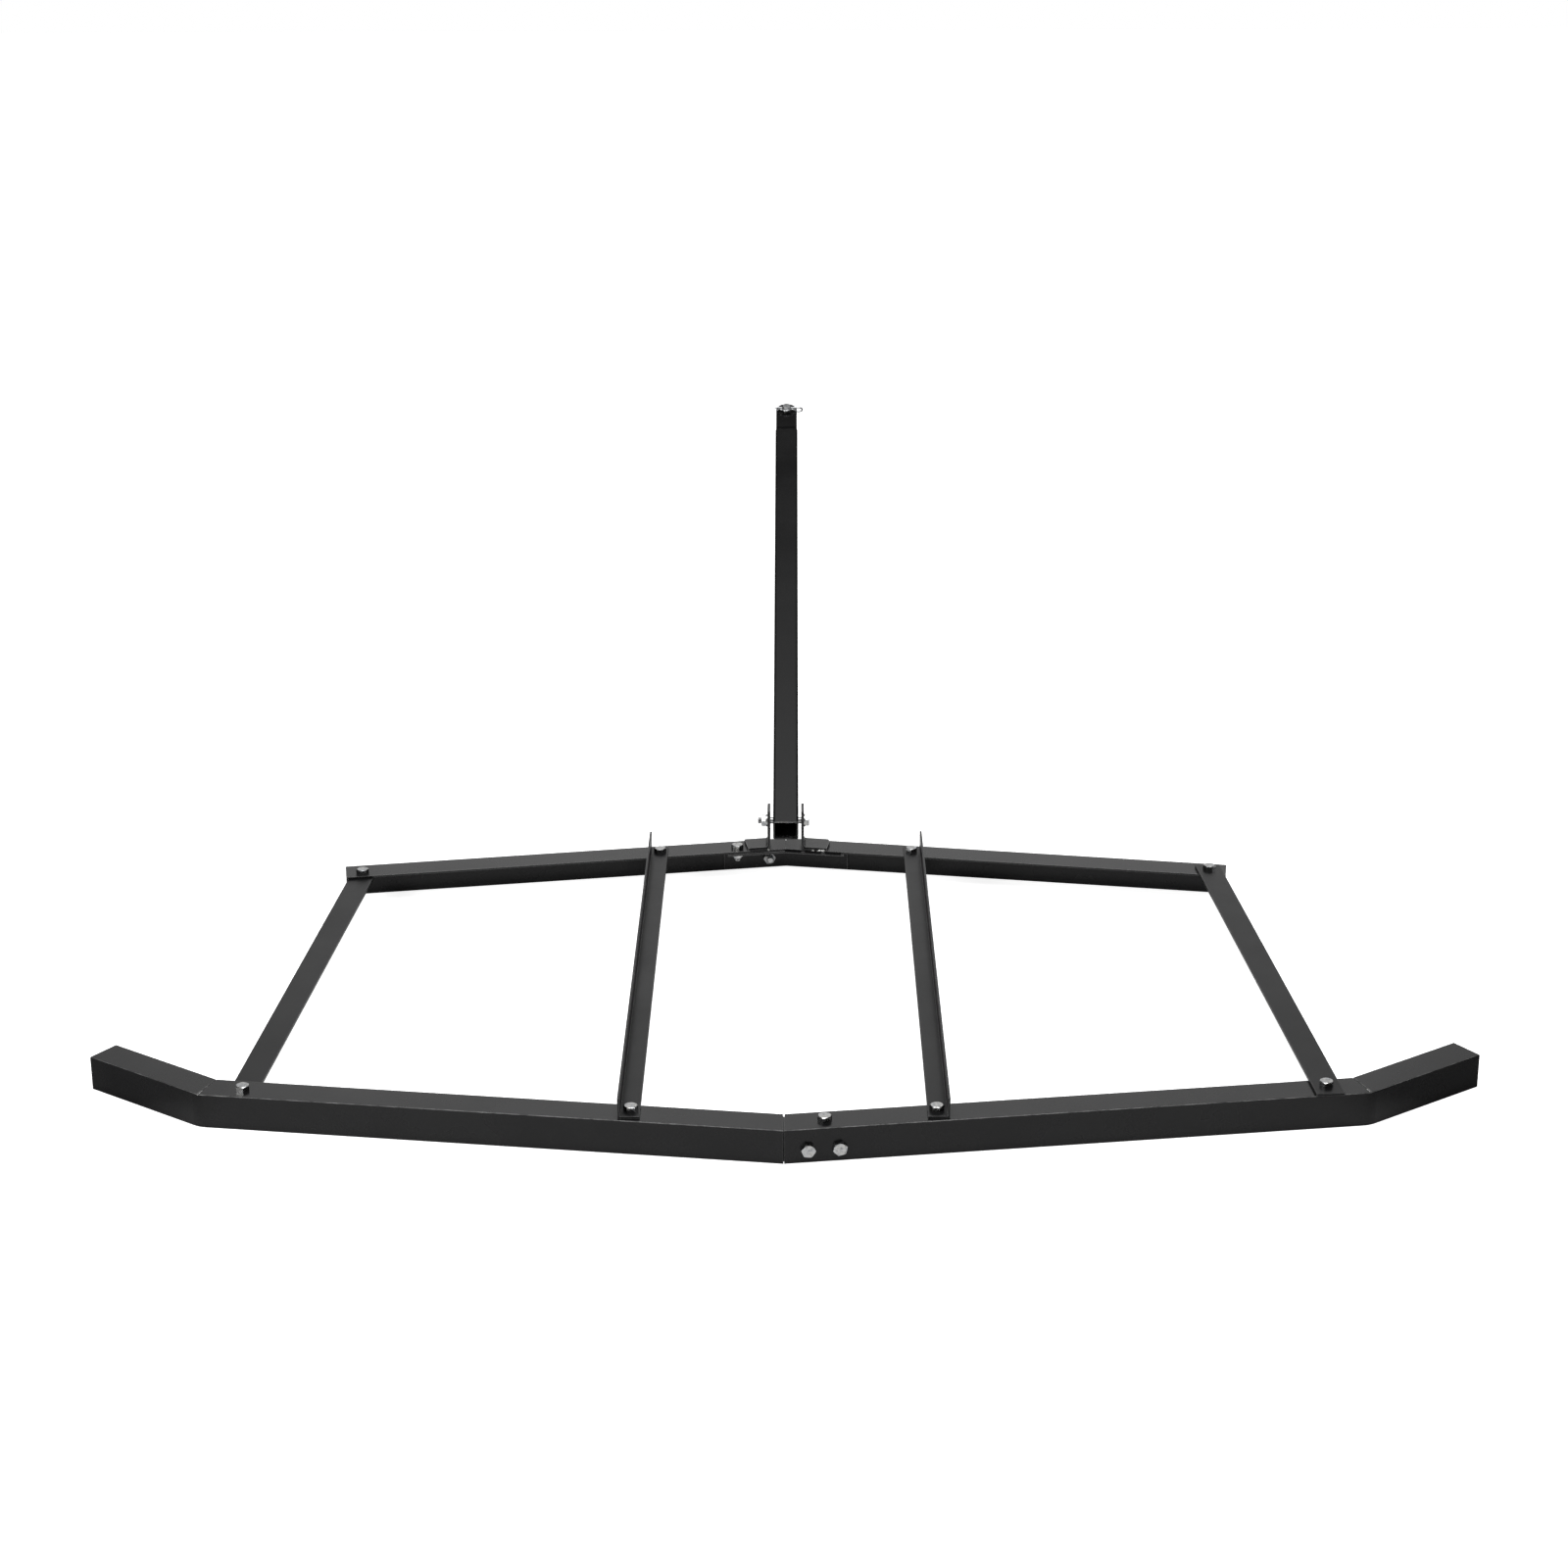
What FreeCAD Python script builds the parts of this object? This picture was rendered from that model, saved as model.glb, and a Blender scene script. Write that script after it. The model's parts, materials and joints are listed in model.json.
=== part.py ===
import FreeCAD, Part
import math
import os

os.makedirs("parts", exist_ok=True)

Vector = FreeCAD.Vector

# All sizes in millimetres. X runs to the right, Y forward along the towing direction, Z up.
# The outer corner of the rear beam's point is at X = 0, Y = 0 while the parts are built, and the
# whole drag is moved so that the middle of its outline is over the origin when it is written.

# Beams of rolled steel angle
angle_size = 47.5
angle_thickness = 3.5
heel_radius = 1.5
root_radius = 0.8
toe_radius = 1.5
half_width = 940.0
rear_slope_deg = 8.0
wing_slope_deg = 35.0
wing_length = 202.6
leg_bend_radius = 38.0
front_point_y = 1045.0
front_slope_deg = 9.9
front_length = 701.0
rear_seam_gap = 1.2
front_seam_gap = 0.4
seam_mouth_gap = 2.3
seam_mouth_depth = 13.0
mitre_gap = 2.0
mitre_gap_gauge = 3.4
mitre_fill_depth = 1.2
mitre_bevel = 1.1

# Splice angles inside the two points
splice_half_length = 101.5
splice_thickness = 3.5
rear_splice_flange = 43.0
front_splice_flange = 45.0
splice_leg_height = 42.5
splice_heel_radius = 1.0

# Outer straps of flat bar
strap_width = 38.0
strap_thickness = 4.0
strap_rear_end = 26.5
strap_front_end = 18.0
strap_leg_gap = 1.2
strap_edge_radius = 0.6
strap_from_bend = 55.2
strap_rear_gauge = 24.0
strap_from_front_end = 25.4
strap_front_gauge = 32.0

# Inner bars of small angle
bar_size = 29.0
bar_thickness = 3.0
bar_heel_radius = 1.0
bar_toe_radius = 0.8
bar_outer_x = 215.5
bar_bolt_x = 199.0
bar_rear_y = 35.0
bar_front_y = 998.5
bar_rear_gauge = 28.0
bar_front_gauge = 32.0

# Bolts, lock nuts, the plain nut of the pivot and washers
bolt_radius = 5.0
bolt_hole_radius = 5.5
bolt_end_chamfer = 1.0
hex_sides = 6
hex_across_flats = 17.0
head_height = 6.4
head_chamfer_share = 0.95
hex_chamfer_deg = 30.0
nut_hex_height = 6.2
nut_collar_height = 3.6
nut_collar_radius = 7.3
nut_collar_round = 1.6
nut_mouth_radius = 5.9
nut_lip_thickness = 0.6
nut_lip_radius = 6.0
plain_nut_height = 7.6
insert_radius = 6.4
insert_height = 2.2
thread_clearance = 0.1
thread_pitch = 1.5
thread_depth = 0.8
thread_showing = 4.0
washer_thickness = 2.0
washer_radius = 10.0
washer_hole_radius = 5.3

# Bolts of the splices, measured along the beam from the seam or back from the end of the splice
rear_top_bolt_along = 57.0
rear_top_bolt_gauge = 24.5
rear_face_bolts_along = (31.6, 73.0)
front_top_bolt_from_end = 18.0
front_top_bolt_gauge = 30.5
front_face_bolt_along = 28.5
face_bolt_drop = 29.0

# How far each hexagon is turned about its own axis, in degrees, as the fasteners were left
strap_bolt_turns = (42.0, 13.0, 9.0, 52.0)
strap_nut_turns = (40.0, 10.0, 22.0, 5.0)
bar_bolt_turns = (4.0, 52.0, 3.0, 23.0)
bar_nut_turns = (14.0, 33.0, 4.0, 25.0)
rear_top_turns = (17.0, 9.0)
rear_face_turns = ((1.0, 20.0), (24.0, 50.0))
front_top_turns = (46.0, 28.0)
front_face_turns = (13.0, 7.0)
pivot_turns = (4.0, 17.0)

# Hitch ears on the front beam, whose feet end short of the end of the splice
ear_gap = 49.0
ear_thickness = 4.5
ear_far_gauge = 6.0
ear_near_gauge = 46.0
ear_height = 63.5
ear_foot_left_from_end = 33.0
ear_foot_right_from_end = 27.5
ear_bend_radius = 4.0
ear_corner_radius = 2.0
ear_chamfer_along = 5.0
ear_chamfer_across = 11.0

# Tow bar pivot
pivot_gauge = 26.0
pivot_height = 41.5
pivot_clearance = 0.08
pivot_thread_showing = 5.6

# Tow bar and its clevis
tube_size = 40.0
tube_wall = 2.5
tube_corner_radius = 3.5
tube_behind_pivot = 22.6
tow_bar_rise_deg = 22.5
hitch_tip_reach = 1104.0
clevis_length = 78.0
clevis_width = 38.0
clevis_thickness = 5.0
clevis_bend_radius = 3.0

# Hitch pin and spring clip
pin_radius = 8.0
pin_clearance = 0.08
pin_head_radius = 13.0
pin_head_height = 5.0
pin_head_chamfer = 1.0
pin_head_play = 0.4
pin_above_clevis = 10.0
pin_end_chamfer = 1.5
clip_wire_radius = 1.5
clip_hole_clearance = 0.15
clip_above_clevis = 5.2
clip_pin_gap = 0.3
clip_free_end_x = -22.0
clip_loop_radius = 6.0
clip_loop_x = 23.0
clip_loop_turn_deg = 215.0
clip_crest_x = 10.6
clip_crest_depth = 4.6
clip_crest_radius = 3.5
clip_tail_x = -19.0
clip_tail_depth = 9.6

# Weld beads
bead_height = 3.2
bead_width = 3.0
bead_bulge_share = 0.72
edge_bead_height = 2.6
edge_bead_width = 1.9
edge_bead_drop_share = 0.45
ledge_bead_height_share = 0.42
ledge_bead_width = 2.6
stitch_length = 24.0
stitch_starts = (8.0, 40.0, 72.0)
mitre_bead_short_of_edge = 1.0

# One overrun for every cut that must pass right through
overrun = 60.0
half_share = 0.5

rear_slope = math.radians(rear_slope_deg)
front_slope = math.radians(front_slope_deg)
wing_slope = math.radians(wing_slope_deg)
flange_under = angle_size - angle_thickness
edge_bead_drop = angle_thickness * edge_bead_drop_share
ledge_bead_height = angle_thickness * ledge_bead_height_share
front_top_bolt_along = splice_half_length - front_top_bolt_from_end
ear_foot_left_along = splice_half_length - ear_foot_left_from_end
ear_foot_right_along = splice_half_length - ear_foot_right_from_end
touch = 1e-4


def middle(first, second):
    return (first + second) * half_share


def cross_point(first, first_way, second, second_way):
    """Where two lines in plan meet."""
    turn = first_way.x * second_way.y - first_way.y * second_way.x
    gap = second - first
    along = (gap.x * second_way.y - gap.y * second_way.x) / turn
    return first + first_way * along


def parallel_path(path, distance):
    """A path in plan moved sideways to its left by one distance, with mitred corners."""
    ways = [(end - start).normalize() for start, end in zip(path, path[1:])]
    sides = [Vector(-way.y, way.x, 0) * distance for way in ways]
    moved = [path[0] + sides[0]]
    for index in range(1, len(ways)):
        before = path[index - 1] + sides[index - 1]
        after = path[index] + sides[index]
        moved.append(cross_point(before, ways[index - 1], after, ways[index]))
    moved.append(path[-1] + sides[-1])
    return moved


def rounded_edges(points, radii, closed):
    """Straight edges between the points, with an arc of the given radius at each corner."""
    count = len(points)
    starts = []
    ends = []
    arcs = []
    for index in range(count):
        corner = points[index]
        radius = radii[index]
        at_end = not closed and index in (0, count - 1)
        if at_end or radius == 0:
            starts.append(corner)
            ends.append(corner)
            arcs.append(None)
            continue
        back = (points[index - 1] - corner).normalize()
        ahead = (points[(index + 1) % count] - corner).normalize()
        half_angle = back.getAngle(ahead) * half_share
        reach = radius / math.tan(half_angle)
        way_in = (back + ahead).normalize()
        centre = corner + way_in * (radius / math.sin(half_angle))
        first = corner + back * reach
        last = corner + ahead * reach
        starts.append(first)
        ends.append(last)
        arcs.append(Part.Arc(first, centre - way_in * radius, last).toShape())
    edges = []
    for index in range(count):
        if arcs[index] is not None:
            edges.append(arcs[index])
        if index < count - 1 or closed:
            following = (index + 1) % count
            if (starts[following] - ends[index]).Length > touch:
                edges.append(Part.makeLine(ends[index], starts[following]))
    return edges


def plan_solid(points, radii, low, high):
    """A flat shape in plan, raised from one height to another."""
    raised = [Vector(point.x, point.y, low) for point in points]
    wire = Part.Wire(rounded_edges(raised, radii, True))
    return Part.Face(wire).extrude(Vector(0, 0, high - low))


def upright(radius, centre, low, high):
    return Part.makeCylinder(radius, high - low, Vector(centre.x, centre.y, low))


def mirror_left(shape):
    return shape.mirror(Vector(0, 0, 0), Vector(1, 0, 0))


def to_front(shape):
    """A beam part laid out from the rear point, turned round to the front point."""
    return shape.mirror(Vector(0, front_point_y * half_share, 0), Vector(0, 1, 0))


def along_beam(slope, along, gauge):
    """A place in plan, measured from the point along a beam and inwards from its outer face."""
    x = along * math.cos(slope) - gauge * math.sin(slope)
    y = along * math.sin(slope) + gauge * math.cos(slope)
    return Vector(x, y, 0)


def beam_at_x(slope, x, gauge):
    return along_beam(slope, (x + gauge * math.sin(slope)) / math.cos(slope), gauge)


def front_at_x(x, gauge):
    local = beam_at_x(front_slope, x, gauge)
    return Vector(local.x, front_point_y - local.y, 0)


def edges_where(shape, heights, line):
    """The edges of a shape at one height whose middles lie on a line in plan."""
    found = []
    for edge in shape.Edges:
        place = edge.valueAt(middle(edge.FirstParameter, edge.LastParameter))
        ends = [vertex.Point.z for vertex in edge.Vertexes] + [place.z]
        level = all(abs(height - heights) < touch for height in ends)
        if level and line.distToShape(Part.Vertex(place.x, place.y, 0))[0] < touch:
            found.append(edge)
    return found


# Half beams

def half_beam(path, outer_radii, seam_gap, mouth):
    """One half of a beam on the right of its seam, with the flange on top and a mitred bend."""
    half_seam = seam_gap * half_share
    leg_radii = [max(radius - angle_thickness, 0) for radius in outer_radii]
    inner = parallel_path(path, angle_thickness)
    free = parallel_path(path, angle_size)
    zeros = [0] * len(path)
    leg = plan_solid(path + inner[::-1], outer_radii + leg_radii[::-1], 0, angle_size)
    flange = plan_solid(path + free[::-1], outer_radii + zeros, flange_under, angle_size)
    beam = leg.fuse(flange).removeSplitter()
    outer_line = Part.Wire(rounded_edges(path, outer_radii, False))
    inner_line = Part.Wire(rounded_edges(inner, leg_radii, False))
    beam = beam.makeFillet(heel_radius, edges_where(beam, angle_size, outer_line))
    beam = beam.makeFillet(root_radius, edges_where(beam, flange_under, inner_line))
    beam = beam.makeFillet(toe_radius, edges_where(beam, 0, inner_line))
    beam = beam.makeFillet(toe_radius, edges_where(beam, flange_under, Part.makePolygon(free)))
    behind_seam = Part.makeBox(overrun + overrun, overrun + overrun, angle_size + overrun,
                               Vector(half_seam - overrun - overrun, -overrun, -overrun * half_share))
    beam = beam.cut(behind_seam)
    if mouth:
        edge = free[0].y + (half_seam - free[0].x) * math.tan(rear_slope)
        wedge = [Vector(0, edge - seam_mouth_depth, 0),
                 Vector(half_seam, edge - seam_mouth_depth, 0),
                 Vector(seam_mouth_gap * half_share, edge + angle_thickness, 0),
                 Vector(0, edge + angle_thickness, 0)]
        beam = beam.cut(plan_solid(wedge, [0] * len(wedge), 0, angle_size))
    return beam


bend_x = half_width - wing_length * math.cos(wing_slope)
bend_place = Vector(bend_x, bend_x * math.tan(rear_slope), 0)
wing_tip = Vector(half_width, bend_place.y + wing_length * math.sin(wing_slope), 0)
rear_path = [along_beam(rear_slope, -overrun * half_share, 0), bend_place, wing_tip]
front_path = [along_beam(front_slope, -overrun * half_share, 0),
              along_beam(front_slope, front_length, 0)]

strap_rear = along_beam(rear_slope, bend_x / math.cos(rear_slope) - strap_from_bend, strap_rear_gauge)
strap_front = along_beam(front_slope, front_length - strap_from_front_end, strap_front_gauge)
strap_front.y = front_point_y - strap_front.y
bar_rear = beam_at_x(rear_slope, bar_bolt_x, bar_rear_gauge)
bar_front = front_at_x(bar_bolt_x, bar_front_gauge)


def drilled(shape, centres):
    for centre in centres:
        shape = shape.cut(upright(bolt_hole_radius, centre, -overrun, angle_size + overrun))
    return shape


def face_hole(slope, along):
    """The hole of a bolt that passes level through the leg of a beam and its splice."""
    way = along_beam(slope, 0, 1)
    start = along_beam(slope, along, -overrun * half_share)
    start.z = angle_size - face_bolt_drop
    return Part.makeCylinder(bolt_hole_radius, overrun, start, way)


mitre_corner = parallel_path(rear_path, angle_size)[1]
mitre_way = (mitre_corner - bend_place).normalize()
mitre_side = Vector(mitre_way.y, -mitre_way.x, 0)
mitre_start = bend_place + mitre_way * mitre_gap_gauge
half_mitre_gap = mitre_gap * half_share


def mitre_prism(end, section):
    """A shape carried along the mitre of the bend; its section is given as (to the wing, up)."""
    points = [mitre_start + mitre_side * across + Vector(0, 0, height) for across, height in section]
    return Part.Face(Part.makePolygon(points + [points[0]])).extrude(end - mitre_start)


# The flange is notched for the bend: an open gap, with the edge on the wing side bevelled
mitre_cut = mitre_prism(mitre_corner + mitre_way * angle_thickness,
                        ((-half_mitre_gap, flange_under), (half_mitre_gap, flange_under),
                         (half_mitre_gap, angle_size - mitre_bevel),
                         (half_mitre_gap + mitre_bevel, angle_size), (-half_mitre_gap, angle_size)))
rear_half = half_beam(rear_path, [0, leg_bend_radius, 0], rear_seam_gap, True).cut(mitre_cut)
rear_half = drilled(rear_half, (strap_rear, bar_rear))
front_local = half_beam(front_path, [0, 0], front_seam_gap, False)
front_half = drilled(to_front(front_local), (strap_front, bar_front))

rear_top_bolt = along_beam(rear_slope, rear_top_bolt_along, rear_top_bolt_gauge)
front_top_bolt = along_beam(front_slope, front_top_bolt_along, front_top_bolt_gauge)

rear_beam_left = mirror_left(rear_half)
rear_beam_right = drilled(rear_half, (rear_top_bolt,))
for place in rear_face_bolts_along:
    rear_beam_right = rear_beam_right.cut(face_hole(rear_slope, place))

front_beam_right = front_half
front_bolt_cuts = upright(bolt_hole_radius, front_top_bolt, 0, angle_size + overrun)
front_bolt_cuts = front_bolt_cuts.fuse(face_hole(front_slope, front_face_bolt_along))
front_bolt_cuts = mirror_left(to_front(front_bolt_cuts))
front_beam_left = mirror_left(front_half).cut(front_bolt_cuts)


# Splice angles, laid out from the rear point like the beams

def splice_angle(slope, flange_width):
    start = -splice_half_length
    path = [along_beam(slope, start, angle_thickness),
            along_beam(slope, splice_half_length, angle_thickness)]
    leg_edge = parallel_path(path, splice_thickness)
    flange_edge = parallel_path(path, flange_width)
    zeros = [0] * (len(path) + len(path))
    low = flange_under - splice_leg_height
    leg = plan_solid(path + leg_edge[::-1], zeros, low, flange_under)
    flange = plan_solid(path + flange_edge[::-1], zeros, flange_under - splice_thickness, flange_under)
    half = leg.fuse(flange).removeSplitter()
    half = half.makeFillet(splice_heel_radius, edges_where(half, flange_under, Part.makePolygon(path)))
    half = half.makeFillet(toe_radius, edges_where(half, low, Part.makePolygon(leg_edge)))
    other_side = Part.makeBox(splice_half_length + overrun, angle_size + overrun + overrun,
                              angle_size + overrun,
                              Vector(-splice_half_length - overrun, -overrun, -overrun * half_share))
    half = half.cut(other_side)
    return half.fuse(mirror_left(half)).removeSplitter()


rear_splice = splice_angle(rear_slope, rear_splice_flange)
rear_splice = drilled(rear_splice, (rear_top_bolt,))
for place in rear_face_bolts_along:
    rear_splice = rear_splice.cut(face_hole(rear_slope, place))
front_splice = to_front(splice_angle(front_slope, front_splice_flange)).cut(
    mirror_left(to_front(upright(bolt_hole_radius, front_top_bolt, 0, angle_size + overrun))))
front_splice = front_splice.cut(mirror_left(to_front(face_hole(front_slope, front_face_bolt_along))))


# Straps and bars

strap_way = (strap_front - strap_rear).normalize()
strap_side = Vector(strap_way.y, -strap_way.x, 0) * (strap_width * half_share)


def flat_strap(rear_end, front_end, low):
    """A flat bar on the right side, from beyond its rear bolt to beyond its front bolt."""
    way = strap_way
    side = strap_side
    start = strap_rear - way * rear_end
    end = strap_front + way * front_end
    corners = [start - side, start + side, end + side, end - side]
    strap = plan_solid(corners, [0] * len(corners), low, low + strap_thickness)
    strap = strap.makeFillet(strap_edge_radius, strap.Edges)
    return drilled(strap, (strap_rear, strap_front))


def end_short_of_leg(way, outwards, gauge):
    """How far a strap under a flange may run past its bolt before a corner nears the leg."""
    room = gauge - angle_thickness - strap_leg_gap - abs(strap_side.dot(outwards))
    return room / way.dot(outwards)


hidden_rear_end = end_short_of_leg(-strap_way, along_beam(rear_slope, 0, -1), strap_rear_gauge)
front_outwards = along_beam(front_slope, 0, -1)
front_outwards.y = -front_outwards.y
hidden_front_end = end_short_of_leg(strap_way, front_outwards, strap_front_gauge)
outer_strap_right = flat_strap(strap_rear_end, strap_front_end, angle_size)
outer_strap_left = mirror_left(flat_strap(hidden_rear_end, hidden_front_end,
                                          flange_under - strap_thickness))

bar_length = bar_front_y - bar_rear_y
bar_leg = Part.makeBox(bar_thickness, bar_length, bar_size,
                       Vector(bar_outer_x - bar_thickness, bar_rear_y, angle_size))
bar_flange = Part.makeBox(bar_size, bar_length, bar_thickness,
                          Vector(bar_outer_x - bar_size, bar_rear_y, angle_size))


def long_edges_at(shape, x, z):
    """The edges that run along a bar at one place across it."""
    found = []
    for edge in shape.Edges:
        places = [vertex.Point for vertex in edge.Vertexes]
        if all(abs(place.x - x) < touch and abs(place.z - z) < touch for place in places):
            found.append(edge)
    return found


inner_bar = bar_leg.fuse(bar_flange).removeSplitter()
inner_bar = inner_bar.makeFillet(bar_heel_radius, long_edges_at(inner_bar, bar_outer_x, angle_size))
inner_bar = inner_bar.makeFillet(bar_toe_radius, long_edges_at(
    inner_bar, bar_outer_x - bar_thickness, angle_size + bar_size))
inner_bar = inner_bar.makeFillet(bar_toe_radius, long_edges_at(
    inner_bar, bar_outer_x - bar_size, angle_size + bar_thickness))
inner_bar_right = drilled(inner_bar, (bar_rear, bar_front))
inner_bar_left = mirror_left(inner_bar_right)


# Hitch ears

def ear_blank():
    """The right ear as a strip bent out into a foot, before its plan outline is trimmed."""
    inner_x = ear_gap * half_share
    outer_x = inner_x + ear_thickness
    foot_end = ear_foot_right_along + overrun * half_share
    outline = [Vector(inner_x, 0, 0), Vector(foot_end, 0, 0), Vector(foot_end, 0, ear_thickness),
               Vector(outer_x, 0, ear_thickness), Vector(outer_x, 0, ear_height),
               Vector(inner_x, 0, ear_height)]
    radii = [ear_bend_radius + ear_thickness, 0, 0, ear_bend_radius, 0, 0]
    strip = Part.Face(Part.Wire(rounded_edges(outline, radii, True)))
    return strip.extrude(Vector(0, angle_size + overrun, 0))


def hitch_ear(end, chamfered):
    """An ear on the right, laid out from the rear point like the beams and turned to the front."""
    low = ear_far_gauge
    high = ear_near_gauge
    outline = [along_beam(front_slope, -overrun * half_share, low)]
    if chamfered:
        outline.append(along_beam(front_slope, end - ear_chamfer_along, low))
        outline.append(along_beam(front_slope, end, low + ear_chamfer_across))
    else:
        outline.append(along_beam(front_slope, end, low))
    outline.append(along_beam(front_slope, end, high))
    outline.append(along_beam(front_slope, -overrun * half_share, high))
    plan = plan_solid(outline, [0] * len(outline), 0, ear_height)
    ear = ear_blank().common(plan)
    top_corners = []
    for edge in ear.Edges:
        places = [vertex.Point for vertex in edge.Vertexes]
        across = abs(places[0].x - places[-1].x) > ear_thickness * half_share
        at_top = all(abs(place.z - ear_height) < touch for place in places)
        if at_top and across:
            top_corners.append(edge)
    ear = ear.makeFillet(ear_corner_radius, top_corners)
    ear.translate(Vector(0, 0, angle_size))
    return to_front(ear)


pivot_place = Vector(0, front_at_x(ear_gap * half_share, pivot_gauge).y, angle_size + pivot_height)
pivot_reach = ear_gap + ear_thickness + ear_thickness + overrun
pivot_cut = Part.makeCylinder(bolt_hole_radius, pivot_reach,
                              pivot_place - Vector(pivot_reach * half_share, 0, 0), Vector(1, 0, 0))
hitch_ear_right = hitch_ear(ear_foot_right_along, True).cut(pivot_cut)
hitch_ear_left = mirror_left(hitch_ear(ear_foot_left_along, False)).cut(pivot_cut)


# Fasteners, built with the underside of the head at the origin and the shank pointing down

def hex_prism(low, high):
    corner = hex_across_flats * half_share / math.cos(math.pi / hex_sides)
    points = []
    for index in range(hex_sides):
        turn = math.tau * index / hex_sides
        points.append(Vector(corner * math.cos(turn), corner * math.sin(turn), low))
    wire = Part.makePolygon(points + [points[0]])
    return Part.Face(wire).extrude(Vector(0, 0, high - low))


def chamfered_hex(low, high, both_ends):
    """A hexagon whose corners are turned off at the top, or at both ends."""
    corner = hex_across_flats * half_share / math.cos(math.pi / hex_sides)
    flat = hex_across_flats * half_share * head_chamfer_share
    drop = (corner - flat) * math.tan(math.radians(hex_chamfer_deg))
    outline = [Vector(0, 0, low)]
    if both_ends:
        outline += [Vector(flat, 0, low), Vector(corner, 0, low + drop)]
    else:
        outline += [Vector(corner, 0, low)]
    outline += [Vector(corner, 0, high - drop), Vector(flat, 0, high), Vector(0, 0, high)]
    turned = Part.Face(Part.makePolygon(outline + [outline[0]]))
    turned = turned.revolve(Vector(0, 0, 0), Vector(0, 0, 1), math.degrees(math.tau))
    return hex_prism(low, high).common(turned)


def hex_bolt(grip, past_grip):
    """A bolt whose thread, cut as rings, runs from the nut's bearing face to its end."""
    length = grip + past_grip
    shank = [Vector(0, 0, 0), Vector(bolt_radius, 0, 0), Vector(bolt_radius, 0, -grip)]
    for index in range(int((past_grip - bolt_end_chamfer) / thread_pitch)):
        crest = -grip - thread_pitch * index
        shank.append(Vector(bolt_radius - thread_depth, 0, crest - thread_pitch * half_share))
        shank.append(Vector(bolt_radius, 0, crest - thread_pitch))
    shank.append(Vector(bolt_radius, 0, bolt_end_chamfer - length))
    shank += [Vector(bolt_radius - bolt_end_chamfer, 0, -length), Vector(0, 0, -length)]
    shank = Part.Face(Part.makePolygon(shank + [shank[0]]))
    shank = shank.revolve(Vector(0, 0, 0), Vector(0, 0, 1), math.degrees(math.tau))
    return chamfered_hex(0, head_height, False).fuse(shank)


nut_height = nut_hex_height + nut_collar_height
nut_axis = Vector(0, 0, 0)
insert_low = nut_lip_thickness - nut_height
insert_high = insert_low + insert_height
nut_bore_radius = bolt_radius + thread_clearance


def bored(nut):
    """A nut with the hole for its bolt, opened out at the bearing face."""
    nut = nut.cut(upright(nut_bore_radius, nut_axis, -overrun, overrun))
    mouth = Part.makeCone(nut_bore_radius, nut_mouth_radius, nut_mouth_radius - nut_bore_radius,
                          Vector(0, 0, nut_bore_radius - nut_mouth_radius))
    return nut.cut(mouth)


def plain_nut():
    """A nut without a collar, with its bearing face at the origin."""
    return bored(chamfered_hex(-plain_nut_height, 0, True))


def lock_nut():
    """A nut with its bearing face at the origin and its collar pointing down."""
    body = chamfered_hex(-nut_hex_height, 0, True)
    collar = upright(nut_collar_radius, nut_axis, -nut_height, -nut_hex_height + touch)
    rim = [edge for edge in collar.Edges if abs(edge.BoundBox.ZMin + nut_height) < touch
           and abs(edge.BoundBox.ZMax + nut_height) < touch]
    collar = collar.makeFillet(nut_collar_round, rim)
    nut = bored(body.fuse(collar).removeSplitter())
    nut = nut.cut(upright(insert_radius + thread_clearance, nut_axis, insert_low, insert_high))
    return nut.cut(upright(nut_lip_radius, nut_axis, -overrun, insert_low))


def nut_insert():
    """The plastic ring in the collar of a nut, which grips the thread."""
    ring = upright(insert_radius, nut_axis, insert_low, insert_high)
    return ring.cut(upright(nut_bore_radius, nut_axis, insert_low, insert_high))


def washer():
    ring = Part.makeCylinder(washer_radius, washer_thickness)
    return ring.cut(Part.makeCylinder(washer_hole_radius, washer_thickness))


def turned_to(shape, place, head_way, turn_deg):
    """A fastener with its head facing one way from a place, turned about its own axis."""
    shape = shape.copy()
    shape.rotate(Vector(0, 0, 0), Vector(0, 0, 1), turn_deg)
    placement = FreeCAD.Placement(place, FreeCAD.Rotation(Vector(0, 0, 1), head_way))
    shape.Placement = placement.multiply(shape.Placement)
    return shape


def bolt_set(place, head_way, grip, turns):
    """A bolt with its head's bearing face at a place, and its nut and ring beyond the metal."""
    bolt_turn, nut_turn = turns
    far_side = place - head_way * grip
    bolt = turned_to(hex_bolt(grip, nut_height + thread_showing), place, head_way, bolt_turn)
    nut = turned_to(lock_nut(), far_side, head_way, nut_turn)
    insert = turned_to(nut_insert(), far_side, head_way, nut_turn)
    return bolt, nut, insert


up = Vector(0, 0, 1)
strap_top = angle_size + strap_thickness
strap_grip = angle_thickness + strap_thickness
bar_top = angle_size + bar_thickness
bar_grip = angle_thickness + bar_thickness
splice_grip = angle_thickness + splice_thickness


def side_pair(left, left_level, right, right_level):
    """A place on the left and its place on the right, each at its own height."""
    return [Vector(-left.x, left.y, left_level), Vector(right.x, right.y, right_level)]


strap_places = side_pair(strap_rear, angle_size, strap_rear, strap_top)
strap_places += side_pair(strap_front, angle_size, strap_front, strap_top)
bar_places = side_pair(bar_rear, bar_top, bar_rear, bar_top)
bar_places += side_pair(bar_front, bar_top, bar_front, bar_top)
strap_sets = [bolt_set(place, up, strap_grip, turns)
              for place, *turns in zip(strap_places, strap_bolt_turns, strap_nut_turns)]
bar_sets = [bolt_set(place, up, bar_grip, turns)
            for place, *turns in zip(bar_places, bar_bolt_turns, bar_nut_turns)]

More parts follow.
